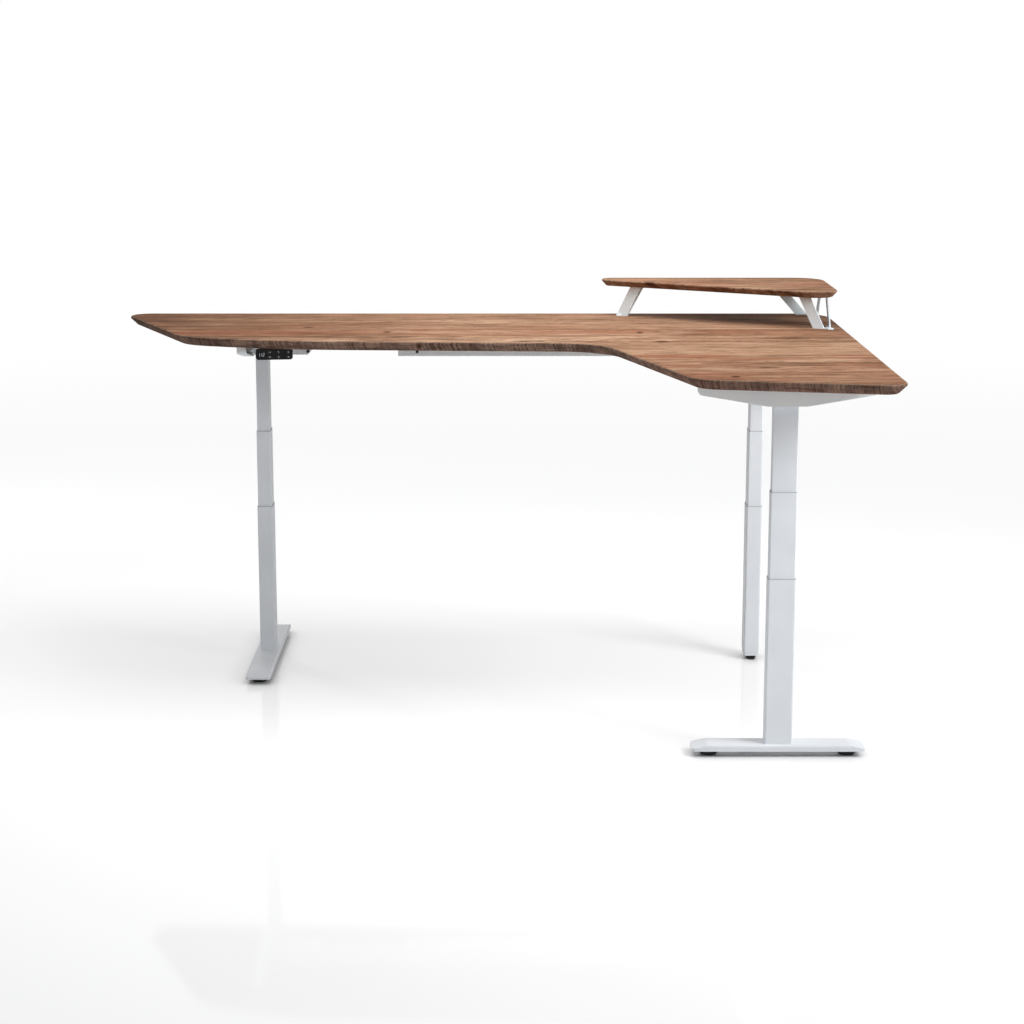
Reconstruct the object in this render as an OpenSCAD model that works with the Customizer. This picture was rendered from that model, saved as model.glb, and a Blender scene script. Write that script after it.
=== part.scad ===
// L-shaped standing desk. A solid wood top in one piece stands on three telescoping
// legs, and a triangular riser shelf stands on the corner of the top.
// Millimetres, +Z up, the front faces -Y. Plan sizes run from the right edge to the left
// and from the back edge to the front, as the desk is measured.

/* [Worktop outline] */
// back edge, from the right edge to the sharp left corner
run_length = 2393; // [2330:1:2450]
// how far the left end slants in towards the front
end_slant = 285; // [250:1:320]
// depth at the left front corner
end_depth = 640; // [610:1:665]
// shallow bend of the front edge, from the sharp left corner
bend_from_left = 578; // [540:1:610]
// depth at the shallow bend
bend_depth = 758; // [740:1:775]
// depth at the inner corner, where the user stands
inner_depth = 814; // [795:1:835]
// width of the return at the inner corner
inner_width = 798; // [770:1:825]
// width of the return at its front end
nose_width = 569; // [545:1:595]
// depth of the return at its left front corner
nose_depth = 1598; // [1570:1:1625]
// depth of the return at its right front corner
return_depth = 1718; // [1680:1:1760]
// radius of the left back corner
left_r = 65; // [55:1:75]
// radius of the left front corner
tip_r = 170; // [150:1:180]
// radius of the shallow bend
bend_r = 1385; // [1200:5:1450]
// radius of the inner corner
inner_r = 177; // [150:1:190]
// radius of the nose of the return
nose_r = 100; // [80:1:120]
// radius of the right front corner
front_r = 60; // [45:1:75]
// radius of the back corner behind the riser shelf
back_r = 120; // [112:1:135]

/* [Boards] */
// thickness of the worktop
worktop_t = 30; // [26:0.5:36]
// thickness of the riser shelf
shelf_t = 22; // [18:0.5:26]
// how far the bevel under the worktop's edge reaches in
worktop_bevel = 25; // [20:0.5:30]
// how far the bevel under the shelf's edge reaches in
shelf_bevel = 16; // [12:0.5:18]
// rounding of the upper edge of both boards
arris = 4.5; // [3:0.5:6]

/* [Riser shelf] */
// how far the shelf stands in from the worktop's right edge
shelf_in = 18; // [15:1:25]
// shelf edge along the back
shelf_length = 847; // [825:1:870]
// shelf edge along the right side
shelf_depth = 522; // [500:1:540]
// radius of the shelf's left tip
shelf_tip_r = 40; // [35:1:45]
// radius of the shelf's front tip
shelf_front_r = 70; // [60:1:80]
// radius of the shelf's back corner
shelf_back_r = 100; // [90:1:110]
// clear height under the shelf
shelf_clear = 100; // [85:1:120]
// how far the blades along the slanted edge, and at the left tip, lean over their height
blade_lean = 53; // [40:1:60]
// how far the blades along the back and right edges lean over their height
square_lean = 89; // [75:1:95]
// width of a support blade
blade_w = 40; // [34:1:46]
// plate thickness of the supports
blade_t = 4; // [3:0.5:5]
// open corner between the two blades of a right-hand support
blade_gap = 27; // [22:1:32]
// depth of the support's foot strip
strip_d = 12; // [10:0.5:16]

/* [Legs] */
// left column, from the sharp left corner
left_leg_in = 509; // [480:1:540]
// left and corner columns, from the back edge
leg_back = 345; // [345:1:370]
// corner column, from the right edge
corner_leg_in = 268; // [255:1:285]
// right column, from the right edge
right_leg_in = 300; // [290:1:315]
// right column, from the sharp front corner
right_leg_front = 305; // [290:1:330]
// outer tube, short side
outer_w = 50; // [48:0.5:54]
// outer tube, long side
outer_d = 80; // [78:0.5:84]
// corner radius of the outer tube
tube_r = 5; // [4:0.25:6]
// wall of all three tubes
tube_wall = 1.5; // [1.2:0.1:1.8]
// gap from one tube's bore to the next tube
tube_gap = 1; // [0.9:0.05:1.1]
// height of the outer tubes above the feet
outer_length = 487; // [470:1:510]
// how far each stage stands out of the one below
stage_out = 250; // [240:1:258]
// length of a middle tube
middle_length = 470; // [460:1:478]
// length of an inner tube
inner_length = 460; // [445:1:466]
// thickness of the plates that close the tubes' lower ends
base_plate = 4; // [3:0.5:5]
// height of a collar's rim
rim_h = 1.5; // [1:0.1:2]
// depth of a collar inside its tube
collar_h = 60; // [40:1:80]
// gap from a middle tube's top to the outer tube's when lowered
lower_stop = 1; // [0.8:0.1:1.4]
// gap from a motor housing to the middle tube when lowered
upper_stop = 5; // [4:0.1:7]

/* [Lift screws] */
// outside of the fixed screw
fixed_d = 16; // [15:0.1:16.2]
// bore of the fixed screw, which the drive rod dips into
fixed_bore = 9; // [8.8:0.1:10]
// outside of the hollow screw
hollow_d = 26; // [24:0.5:26]
// length of the hollow screw
hollow_length = 366; // [350:1:372]
// drive rod
rod_d = 8; // [7:0.1:8]
// height of the keyed head inside the hollow screw
key_h = 10; // [8:1:12]

/* [Feet] */
// length of the left foot
left_foot_length = 690; // [650:5:690]
// length of the right foot
right_foot_length = 500; // [470:5:520]
// width of the long feet
foot_w = 80; // [80:1:90]
// height of the long feet
foot_h = 18; // [17:0.5:20]
// run of the slope at each end of a foot
foot_slope = 46; // [35:1:60]
// height of the lip below the slope
foot_lip = 7; // [5:0.5:9]
// sheet thickness of the feet
foot_wall = 3; // [2.5:0.1:3.2]
// long feet above the floor
foot_clear = 17; // [16:0.5:19]
// glides, from the ends of a long foot
glide_in = 50; // [42:1:60]
// corner foot, short side
corner_foot_w = 47; // [45:0.5:49]
// corner foot, long side
corner_foot_d = 76; // [75:0.5:79]
// height of the corner foot
corner_foot_h = 11; // [10:0.5:12]
// corner foot above the floor
corner_foot_clear = 14; // [12:0.5:15]
// half the distance of the corner foot's glides
corner_glide_in = 22; // [21:0.5:22]

/* [Glides] */
// upper rim of a glide's pad
pad_d = 60; // [54:1:64]
// sole of a glide's pad
sole_d = 44; // [38:1:48]
// height of a pad
pad_h = 11; // [9:0.5:12]
// stem of a glide
stem_d = 10; // [8:0.5:10]
// pad of a corner glide
small_pad_d = 32; // [28:0.5:33]
// height of a corner glide's pad
small_pad_h = 8; // [6:0.5:9]

/* [Frame] */
// motor housing, from the column's axis to its inner end
housing_reach = 159; // [155:1:170]
// motor housing, from the column's axis to its outer end
housing_back = 25; // [25:0.5:28]
// width of a motor housing
housing_w = 86; // [84:1:92]
// height of a motor housing
housing_h = 61; // [60:0.5:66]
// sheet thickness of the housings, the tray and the rails
sheet = 2; // [1.8:0.1:2.2]
// sheet thickness of the side brackets
bracket_wall = 2.5; // [2:0.1:3]
// length of a side bracket
bracket_length = 500; // [470:5:520]
// depth of a side bracket's lips
bracket_lip = 30; // [28:0.5:34]
// height of a side bracket at its middle
bracket_mid_h = 65; // [62:0.5:68]
// height of a side bracket at its ends
bracket_end_h = 32; // [28:0.5:36]
// flat length under a side bracket's middle
bracket_flat = 110; // [100:1:120]
// width of a rail
rail_w = 60; // [56:1:62]
// height of a rail
rail_h = 40; // [36:1:42]
// rails below the worktop
rail_drop = 3; // [2.5:0.5:5]
// length of a rail end inside a housing
rail_in = 38; // [34:0.5:40]
// length of a rail inside the tray
rail_in_tray = 84; // [78:1:100]
// length of the tray
tray_length = 714; // [680:1:740]
// right end of the tray, from the right edge
tray_right = 725; // [700:1:760]
// width of the tray
tray_w = 90; // [88:1:96]
// depth of the tray
tray_h = 66; // [64:0.5:70]
// first clamp screw, from the tray's end
tray_screw_in = 62; // [58:0.5:66]
// clamp screws above the bottom of a housing or the tray
clamp_up = 11; // [10:0.5:12]
// length of the control box
box_length = 260; // [240:5:300]

/* [Hand control] */
// middle of the handset, from the sharp left corner
handset_from_left = 585; // [570:1:600]
// front of the handset, from the back edge
handset_front = 708; // [690:1:712]
// turn of the handset to follow the desk's edge
handset_turn = 8; // [0:0.5:12]
// width of the handset
handset_w = 115; // [112:1:124]
// height of the handset's face
handset_h = 32; // [30:0.5:34]
// depth of the handset
handset_d = 30; // [26:1:34]
// drop of the handset's face below the worktop
handset_drop = 3; // [3:0.5:5]
// width of a key
key_w = 17; // [15:0.5:18]
// height of a key's face
key_face = 9; // [8:0.25:9.5]
// travel of a key
key_travel = 0.8; // [0.6:0.1:1]

/* [Screws] */
// head of a wood screw
wood_head_d = 10; // [9:0.5:11]
// head height of a wood screw
wood_head_h = 3; // [2.5:0.5:3.5]
// shank of a wood screw
wood_d = 5; // [4.5:0.1:5.5]
// length of a wood screw under its head
wood_length = 16; // [14:0.5:16.5]
// shank of the frame bolts
bolt_d = 6; // [5:0.1:6.2]
// head of the frame bolts
bolt_head_d = 11; // [10:0.5:11]
// head height of the frame bolts
bolt_head_h = 3.5; // [3:0.1:4]

/* [Hidden] */
$fn = 48;
clear = 0.3;
skin = 0.1;
round_steps = 12;
rim_lap = 3;

sides = [1, -1];
foot_top = foot_clear + foot_h;
corner_foot_top = corner_foot_clear + corner_foot_h;
outer_top = foot_top + outer_length;
middle_top = outer_top + lower_stop + stage_out;
middle_bottom = middle_top - middle_length;
housing_z = middle_top + upper_stop + stage_out;
inner_bottom = housing_z - inner_length;
under_z = housing_z + housing_h;
top_z = under_z + worktop_t;
shelf_z = top_z + shelf_clear;

// sections of the three tubes, long side along the leg's own Y
middle_w = outer_w - 2 * (tube_wall + tube_gap);
middle_d = outer_d - 2 * (tube_wall + tube_gap);
middle_r = tube_r - tube_wall;
inner_w = middle_w - 2 * (tube_wall + tube_gap);
inner_d = middle_d - 2 * (tube_wall + tube_gap);
inner_corner = max(2, middle_r - tube_wall);

// lift screws: each is as long as the next stage lets it be when the leg is lowered
hollow_z = middle_bottom + base_plate;
hollow_top = hollow_z + hollow_length;
fixed_top = hollow_top - key_h - stage_out - 5;
hollow_bore = fixed_d + 1;
nut_bore = hollow_d + 1;
flange_h = 6;
rod_bottom = foot_top + base_plate + 2 * stage_out + 21;

function dir(a, b) = (b - a) / norm(b - a);
function inward(d) = [-d[1], d[0]];
function cross2(a, b) = a[0] * b[1] - a[1] * b[0];
function spin(p, a) = [p[0] * cos(a) - p[1] * sin(a), p[0] * sin(a) + p[1] * cos(a)];

// A board's outline is a list of sharp corners [x, y, radius], anticlockwise.
function corner(c, i) = [c[(i + len(c)) % len(c)][0], c[(i + len(c)) % len(c)][1]];
function edge_in(c, i) = dir(corner(c, i - 1), corner(c, i));
function edge_out(c, i) = dir(corner(c, i), corner(c, i + 1));
function bend(c, i) = cross2(edge_in(c, i), edge_out(c, i)) > 0 ? 1 : -1;
function turn(c, i) = atan2(cross2(edge_in(c, i), edge_out(c, i)), edge_in(c, i) * edge_out(c, i));
function centre(c, i) = let (n1 = inward(edge_in(c, i)), n2 = inward(edge_out(c, i)))
    corner(c, i) + bend(c, i) * c[i][2] * (n1 + n2) / (1 + n1 * n2);

// the outline moved in by d, with n steps round each corner
function ring(c, d, n) = [for (i = [0:len(c) - 1])
    for (k = [0:n]) centre(c, i)
        - bend(c, i) * (c[i][2] - bend(c, i) * d) * spin(inward(edge_in(c, i)), turn(c, i) * k / n)];

// A board whose edge profile, listed as [height, inset], follows its outline all round: a
// closed rim with one ring of points per level, lapped onto a plain slab in the middle.
module board(c, profile, reach) {
    t = profile[len(profile) - 1][0];
    levels = concat(profile, [[t, reach + rim_lap], [0, reach + rim_lap]]);
    rings = [for (p = levels) ring(c, p[1], round_steps)];
    m = len(rings[0]);
    n = len(levels);
    polyhedron(
        points=[for (k = [0:n - 1]) for (q = rings[k]) [q[0], q[1], levels[k][0]]],
        faces=[for (k = [0:n - 1]) for (i = [0:m - 1]) let (j = (k + 1) % n)
            [k * m + i, j * m + i, j * m + (i + 1) % m, k * m + (i + 1) % m]]);
    linear_extrude(t) polygon(ring(c, reach, round_steps));
}

// worktop outline as measured on the desk: left of the right edge, front of the back edge
plan = [[run_length, 0, left_r],
        [run_length - end_slant, end_depth, tip_r],
        [run_length - bend_from_left, bend_depth, bend_r],
        [inner_width, inner_depth, inner_r],
        [nose_width, nose_depth, nose_r],
        [0, return_depth, front_r],
        [0, 0, back_r]];
rim_left = centre(plan, 0)[0] + left_r;
rim_front = centre(plan, 5)[1] + front_r;

// from desk measures to the drawing: the desk's box is centred on the origin
function at(u, w) = [rim_left / 2 - u, rim_front / 2 - w];
function placed(c) = [for (p = c) concat(at(p[0], p[1]), p[2])];

leg_at = [at(run_length - left_leg_in, leg_back),
          at(corner_leg_in, leg_back),
          at(right_leg_in, return_depth - right_leg_front)];
leg_turn = [0, 180, 90];
function on_leg(i, p) = leg_at[i] + spin(p, leg_turn[i]);

module at_leg(i) {
    translate([leg_at[i][0], leg_at[i][1], 0]) rotate([0, 0, leg_turn[i]]) children();
}

module plate(a, b, r) {
    square([a - 2 * r, b], center=true);
    square([a, b - 2 * r], center=true);
    for (i = sides, j = sides) translate([i * (a / 2 - r), j * (b / 2 - r)]) circle(r);
}

module pipe(a, b, r, wall, h) {
    difference() {
        linear_extrude(h) plate(a, b, r);
        translate([0, 0, -1]) linear_extrude(h + 2) plate(a - 2 * wall, b - 2 * wall, r - wall);
    }
}

// screws and the holes they go through: head down at the origin, shank up
module screw(head_d, head_h, d, length) {
    translate([0, 0, -head_h]) cylinder(d=head_d, h=head_h);
    cylinder(d=d, h=length);
}

// WORKTOP AND SHELF
housing_tab_x = 100;
housing_tab_out = 9;
tab_w = 30;
tab_d = 18;
bracket_screws = [60, 215];
tray_mid = tray_right + tray_length / 2;
tray_tab_in = 120;
handset_at = at(run_length - handset_from_left, handset_front);
handset_yaw = handset_turn;
handset_flange = 20;
function on_handset(p) = handset_at + spin(p, handset_yaw);

// every wood screw under the worktop, as [x, y, thickness of what it holds]
top_screws = concat(
    [for (i = [0, 2]) for (s = sides) for (y = bracket_screws)
        let (p = on_leg(i, [-housing_back - bracket_lip / 2, s * y])) [p[0], p[1], bracket_wall]],
    [for (i = [0:2]) for (s = sides)
        let (p = on_leg(i, [housing_tab_x, s * (housing_w / 2 + housing_tab_out)]))
        [p[0], p[1], sheet]],
    [for (i = sides) for (s = sides)
        let (p = at(tray_mid + i * (tray_length / 2 - tray_tab_in),
                    leg_back + s * (tray_w / 2 + housing_tab_out))) [p[0], p[1], sheet]],
    [for (s = sides)
        let (p = on_handset([s * 20, handset_d + handset_flange / 2])) [p[0], p[1], sheet]]);

// shelf supports: corner, its two arms as [direction, side of the plate, lean], gap to the blades
shelf_slope = atan2(shelf_depth, shelf_length);
left_support_in = 150;
left_support_back = 62;
back_support_in = 20;
back_support_back = 38;
front_support_in = 22;
front_support_up = 57;
left_apex = at(shelf_in + shelf_length - left_support_in, left_support_back);
back_apex = at(shelf_in + back_support_in, back_support_back);
front_apex = at(shelf_in + front_support_in, shelf_depth - front_support_up);
left_arms = [[0, -1, blade_lean], [-shelf_slope, 1, blade_lean]];
back_arms = [[180, 1, square_lean], [270, -1, square_lean]];
front_arms = [[180 - shelf_slope, -1, blade_lean], [90, 1, square_lean]];
stud_length = 20;
tab_depth = 22;
strip_past = 1;

function stud_at(apex, arm, gap) = apex + spin([gap + blade_w / 2 + 8, arm[1] * strip_d / 2], arm[0]);
function tab_at(apex, arm, gap) =
    apex + spin([gap + arm[2] + blade_w / 2, arm[1] * (blade_t + (tab_depth - blade_t) / 2)], arm[0]);
supports = [[left_apex, left_arms, 0], [back_apex, back_arms, blade_gap],
            [front_apex, front_arms, blade_gap]];
stud_points = [for (s = supports) for (a = s[1]) stud_at(s[0], a, s[2])];
tab_points = [for (s = supports) for (a = s[1]) tab_at(s[0], a, s[2])];

module worktop() {
    t = worktop_t;
    b = worktop_bevel;
    color("#8a5a42") difference() {
        translate([0, 0, under_z]) board(placed(plan),
            [[0, b], [2, b - 3.5], [t - 2 * arris, 1.5], [t - arris - 2.5, 0], [t - arris, 0],
             [t - 0.3 * arris, 0.3 * arris], [t, arris]], b + 6);
        for (p = top_screws) translate([p[0], p[1], under_z - 1])
            cylinder(d=wood_d + 2 * clear, h=wood_length + 1);
        for (p = stud_points) translate([p[0], p[1], top_z - stud_length - 1])
            cylinder(d=wood_d + 2 * clear, h=stud_length + 2);
    }
}

module shelf_board() {
    t = shelf_t;
    b = shelf_bevel;
    corners = [[shelf_in + shelf_length, 0, shelf_tip_r], [shelf_in, shelf_depth, shelf_front_r],
               [shelf_in, 0, shelf_back_r]];
    color("#8a5a42") difference() {
        translate([0, 0, shelf_z]) board(placed(corners),
            [[0, b], [1.5, b - 2.5], [t - 1.6 * arris, 1.2], [t - arris - 1, 0], [t - 0.8 * arris, 0],
             [t - 0.25 * arris, 0.25 * arris], [t, 0.9 * arris]], b + 6);
        for (p = tab_points) translate([p[0], p[1], shelf_z - 1])
            cylinder(d=wood_d + 2 * clear, h=wood_length - blade_t + 2);
    }
}

// One arm of a shelf support, folded from plate: foot strip, leaning blade and screw tab.
module support_arm(arm, gap) {
    s = arm[1];
    lean = arm[2];
    rotate([0, 0, arm[0]]) {
        translate([-strip_past, s > 0 ? 0 : -strip_d, 0])
            cube([gap + blade_w + strip_past, strip_d, blade_t]);
        translate([0, s > 0 ? blade_t : 0, 0]) rotate([90, 0, 0]) linear_extrude(blade_t)
            polygon([[gap, 0], [gap + blade_w, 0], [gap + blade_w + lean, shelf_clear],
                     [gap + lean, shelf_clear]]);
        difference() {
            translate([gap + lean, s > 0 ? 0 : -tab_depth, shelf_clear - blade_t])
                cube([blade_w, tab_depth, blade_t]);
            translate([gap + lean + blade_w / 2, s * (blade_t + (tab_depth - blade_t) / 2), shelf_clear / 2])
                cylinder(d=wood_d + 2 * clear, h=shelf_clear);
        }
        translate([gap + blade_w / 2 + 8, s * strip_d / 2, -stud_length])
            cylinder(d=wood_d, h=stud_length + 1);
    }
}

module shelf_support(k) {
    s = supports[k];
    color("#e8eaec") translate([s[0][0], s[0][1], top_z]) for (a = s[1]) support_arm(a, s[2]);
}
module left_shelf_support() { shelf_support(0); }
module back_shelf_support() { shelf_support(1); }
module front_shelf_support() { shelf_support(2); }

module wood_screws() {
    color("#c0c4c8") {
        for (p = top_screws) translate([p[0], p[1], under_z - p[2]])
            screw(wood_head_d, wood_head_h, wood_d, wood_length);
        for (p = tab_points) translate([p[0], p[1], shelf_z - blade_t])
            screw(wood_head_d, wood_head_h, wood_d, wood_length);
    }
}

// LEGS
// bolts that hold a tube's base plate to its foot, from the column's axis
bolt_x = 14;
bolt_y = 29;
module bolt_holes(z, h, d) {
    for (i = sides, j = sides) translate([i * bolt_x, j * bolt_y, z]) cylinder(d=d, h=h);
}

module outer_tube(z, stems) {
    translate([0, 0, z]) pipe(outer_w, outer_d, tube_r, tube_wall, outer_top - z);
    difference() {
        translate([0, 0, z]) linear_extrude(base_plate)
            plate(outer_w - tube_wall, outer_d - tube_wall, tube_r - tube_wall / 2);
        bolt_holes(z - 1, base_plate + 2, bolt_d + 2 * clear);
        if (stems) for (s = sides) translate([0, s * corner_glide_in, z - 1])
            cylinder(d=stem_d + 2 * clear, h=base_plate + 2);
    }
}
module left_outer_tube() { color("#dfe3e6") at_leg(0) outer_tube(foot_top, false); }
module corner_outer_tube() { color("#dfe3e6") at_leg(1) outer_tube(corner_foot_top, true); }
module right_outer_tube() { color("#dfe3e6") at_leg(2) outer_tube(foot_top, false); }

module middle_tube() {
    translate([0, 0, middle_bottom]) {
        pipe(middle_w, middle_d, middle_r, tube_wall, middle_length);
        difference() {
            linear_extrude(base_plate)
                plate(middle_w - tube_wall, middle_d - tube_wall, middle_r - tube_wall / 2);
            translate([0, 0, -1]) cylinder(d=hollow_bore, h=base_plate + 2);
        }
    }
}
module left_middle_tube() { color("#dfe3e6") at_leg(0) middle_tube(); }
module corner_middle_tube() { color("#dfe3e6") at_leg(1) middle_tube(); }
module right_middle_tube() { color("#dfe3e6") at_leg(2) middle_tube(); }

module inner_tube() {
    translate([0, 0, inner_bottom]) {
        pipe(inner_w, inner_d, inner_corner, tube_wall, inner_length);
        difference() {
            linear_extrude(base_plate)
                plate(inner_w - tube_wall, inner_d - tube_wall, inner_corner - tube_wall / 2);
            translate([0, 0, -1]) cylinder(d=nut_bore, h=base_plate + 2);
        }
    }
}
module left_inner_tube() { color("#dfe3e6") at_leg(0) inner_tube(); }
module corner_inner_tube() { color("#dfe3e6") at_leg(1) inner_tube(); }
module right_inner_tube() { color("#dfe3e6") at_leg(2) inner_tube(); }

// A guide collar: a rim on the mouth of a tube and a thin sleeve down its bore.
module collar(w, d, r, z) {
    bore_w = w - 2 * (tube_wall + tube_gap - clear);
    bore_d = d - 2 * (tube_wall + tube_gap - clear);
    bore_r = r - tube_wall;
    difference() {
        union() {
            translate([0, 0, z]) linear_extrude(rim_h) plate(w - 2 * skin, d - 2 * skin, r);
            translate([0, 0, z - collar_h]) linear_extrude(collar_h + skin)
                plate(w - 2 * tube_wall - 2 * skin, d - 2 * tube_wall - 2 * skin, r - tube_wall);
        }
        translate([0, 0, z - collar_h - 1]) linear_extrude(collar_h + rim_h + 2)
            plate(bore_w, bore_d, bore_r);
    }
}
module lower_collar() { collar(outer_w, outer_d, tube_r, outer_top); }
module left_lower_collar() { color("#5d6468") at_leg(0) lower_collar(); }
module corner_lower_collar() { color("#5d6468") at_leg(1) lower_collar(); }
module right_lower_collar() { color("#5d6468") at_leg(2) lower_collar(); }
module upper_collar() { collar(middle_w, middle_d, middle_r, middle_top); }
module left_upper_collar() { color("#5d6468") at_leg(0) upper_collar(); }
module corner_upper_collar() { color("#5d6468") at_leg(1) upper_collar(); }
module right_upper_collar() { color("#5d6468") at_leg(2) upper_collar(); }

// LIFT SCREWS
// The fixed screw stands on the outer tube's plate. The hollow screw turns in the middle
// tube's plate: it climbs the fixed screw and carries the inner tube's plate up its outside.
module fixed_screw(z) {
    color("#a8adb2") difference() {
        union() {
            translate([0, 0, z]) cylinder(d=2 * fixed_d - 4, h=flange_h);
            translate([0, 0, z]) cylinder(d=fixed_d, h=fixed_top - z);
        }
        translate([0, 0, z - 1]) cylinder(d=fixed_bore, h=fixed_top - z + 2);
    }
}
module left_fixed_screw() { at_leg(0) fixed_screw(foot_top + base_plate); }
module corner_fixed_screw() { at_leg(1) fixed_screw(corner_foot_top + base_plate); }
module right_fixed_screw() { at_leg(2) fixed_screw(foot_top + base_plate); }

module hollow_screw() {
    color("#a8adb2") difference() {
        union() {
            translate([0, 0, hollow_z]) cylinder(d=hollow_d + 8, h=flange_h);
            translate([0, 0, hollow_z]) cylinder(d=hollow_d, h=hollow_length);
        }
        translate([0, 0, hollow_z - 1]) cylinder(d=hollow_bore, h=hollow_length - key_h + 1);
        translate([0, 0, hollow_z - 1]) cylinder(d=rod_d + 2 * clear, h=hollow_length + 2);
    }
}
module left_hollow_screw() { at_leg(0) hollow_screw(); }
module corner_hollow_screw() { at_leg(1) hollow_screw(); }
module right_hollow_screw() { at_leg(2) hollow_screw(); }

// The gearbox sits on the housing's floor over the column, with the motor on its side and
// the drive rod hanging down the leg.
gear_l = 45;
gear_w = 50;
gear_h = 52;
motor_d = 46;
motor_l = 86;
boss_d = 24;
module gear_motor() {
    z = housing_z + sheet;
    color("#30343a") {
        translate([-gear_l / 2, -gear_w / 2, z]) cube([gear_l, gear_w, gear_h]);
        translate([gear_l / 2 - 1, 0, z + gear_h / 2]) rotate([0, 90, 0])
            cylinder(d=motor_d, h=motor_l + 1);
        translate([0, 0, housing_z - 10]) cylinder(d=boss_d, h=sheet + 11);
        translate([0, 0, rod_bottom]) cylinder(d=rod_d, h=housing_z - rod_bottom);
    }
}
module left_gear_motor() { at_leg(0) gear_motor(); }
module corner_gear_motor() { at_leg(1) gear_motor(); }
module right_gear_motor() { at_leg(2) gear_motor(); }

// FRAME UNDER THE TOP
cut_x = 9;
cut_z = 8;
rail_z = under_z - rail_drop - rail_h;
clamp_x = housing_reach - 7;
clamp_head_d = 10;
clamp_head_h = 3;
clamp_d = 6;
bracket_bolt_y = 34;
bracket_bolts_z = [17, 49];

// side view of the housing, moved in by d on every face but the open top
module housing_side(d) {
    polygon([[-housing_back + d, d], [housing_reach - cut_x - d / 2, d],
             [housing_reach - d, cut_z + d / 2], [housing_reach - d, housing_h + (d > 0 ? 1 : 0)],
             [-housing_back + d, housing_h + (d > 0 ? 1 : 0)]]);
}

// A folded tub, open to the worktop, with a tab on each side and a window for the rail.
module motor_housing(bracket, joint) {
    w = housing_w;
    difference() {
        union() {
            intersection() {
                translate([0, w / 2, housing_z]) rotate([90, 0, 0]) linear_extrude(w) housing_side(0);
                translate([(housing_reach - housing_back) / 2, 0, housing_z])
                    linear_extrude(housing_h) plate(housing_reach + housing_back, w, 3);
            }
            for (s = sides) translate([housing_tab_x - tab_w / 2, s > 0 ? w / 2 - 1 : -w / 2 - tab_d + 1, under_z - sheet])
                cube([tab_w, tab_d, sheet]);
        }
        translate([0, w / 2 - sheet, housing_z]) rotate([90, 0, 0])
            linear_extrude(w - 2 * sheet) housing_side(sheet);
        translate([0, 0, housing_z - 1]) cylinder(d=boss_d + 2 * clear, h=sheet + 2);
        translate([housing_reach - sheet - 1, -rail_w / 2 - clear, rail_z - clear])
            cube([sheet + 2, rail_w + 2 * clear, rail_h + 2 * clear]);
        for (s = sides) {
            translate([housing_tab_x, s * (w / 2 + housing_tab_out), under_z - sheet - 1])
                cylinder(d=wood_d + 2 * clear, h=sheet + 2);
            translate([clamp_x, s * w / 2, housing_z + clamp_up]) rotate([90, 0, 0])
                cylinder(d=clamp_d + 2 * clear, h=4 * sheet, center=true);
        }
        if (bracket) for (s = sides, z = bracket_bolts_z)
            translate([-housing_back, s * bracket_bolt_y, housing_z + z]) rotate([0, 90, 0])
                cylinder(d=bolt_d + 2 * clear, h=4 * sheet, center=true);
        if (joint) for (p = joint_bolts) translate([p[0], w / 2, housing_z + p[1]])
            rotate([90, 0, 0]) cylinder(d=bolt_d + 2 * clear, h=4 * sheet, center=true);
    }
}
// the return rail's end plate on the corner housing, seen from the corner leg
joint_x = corner_leg_in - right_leg_in;
joint_half = 38;
joint_bolts = [for (s = sides) [-joint_x + s * joint_half, housing_h / 2]];
module left_motor_housing() { color("#dfe3e6") at_leg(0) motor_housing(true, false); }
module corner_motor_housing() { color("#dfe3e6") at_leg(1) motor_housing(false, true); }
module right_motor_housing() { color("#dfe3e6") at_leg(2) motor_housing(true, false); }

bracket_corners = [[-bracket_length / 2, 0, 5], [-bracket_length / 2, -bracket_end_h, 12],
                   [-bracket_flat / 2, -bracket_mid_h, 8], [bracket_flat / 2, -bracket_mid_h, 8],
                   [bracket_length / 2, -bracket_end_h, 12], [bracket_length / 2, 0, 5]];

// A pressed pan: web on the outside, lips all round, and a plate that takes the housing.
module side_bracket() {
    x0 = -housing_back - bracket_lip;
    color("#dfe3e6") difference() {
        union() {
            difference() {
                translate([x0, 0, under_z]) rotate([90, 0, 90])
                    linear_extrude(bracket_lip) polygon(ring(bracket_corners, 0, 4));
                translate([x0 + bracket_wall, 0, under_z]) rotate([90, 0, 90])
                    linear_extrude(bracket_lip) polygon(ring(bracket_corners, bracket_wall, 4));
            }
            translate([-housing_back - bracket_wall, -bracket_flat / 2, under_z - housing_h + 1])
                cube([bracket_wall, bracket_flat, housing_h - 2]);
        }
        for (s = sides, y = bracket_screws) translate([-housing_back - bracket_lip / 2, s * y, 0]) {
            translate([0, 0, under_z - sheet - 2]) cylinder(d=wood_d + 2 * clear, h=sheet + 4);
            translate([0, 0, under_z - bracket_mid_h - 4])
                cylinder(d=wood_head_d + 3, h=bracket_mid_h - 8);
        }
        for (s = sides, z = bracket_bolts_z)
            translate([-housing_back, s * bracket_bolt_y, housing_z + z]) rotate([0, 90, 0])
                cylinder(d=bolt_d + 2 * clear, h=4 * bracket_wall, center=true);
    }
}
module left_side_bracket() { at_leg(0) side_bracket(); }
module right_side_bracket() { at_leg(2) side_bracket(); }

module bracket_bolts() {
    color("#2b2d30") {
        for (i = [0, 2]) at_leg(i) for (s = sides, z = bracket_bolts_z)
            translate([-housing_back + sheet, s * bracket_bolt_y, housing_z + z]) rotate([0, -90, 0])
                screw(bolt_head_d, bolt_head_h, bolt_d, 8);
        at_leg(1) for (p = joint_bolts)
            translate([p[0], housing_w / 2 + joint_plate, housing_z + p[1]]) rotate([90, 0, 0])
                screw(bolt_head_d, bolt_head_h, bolt_d, 8);
    }
}
joint_plate = 4;

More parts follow.
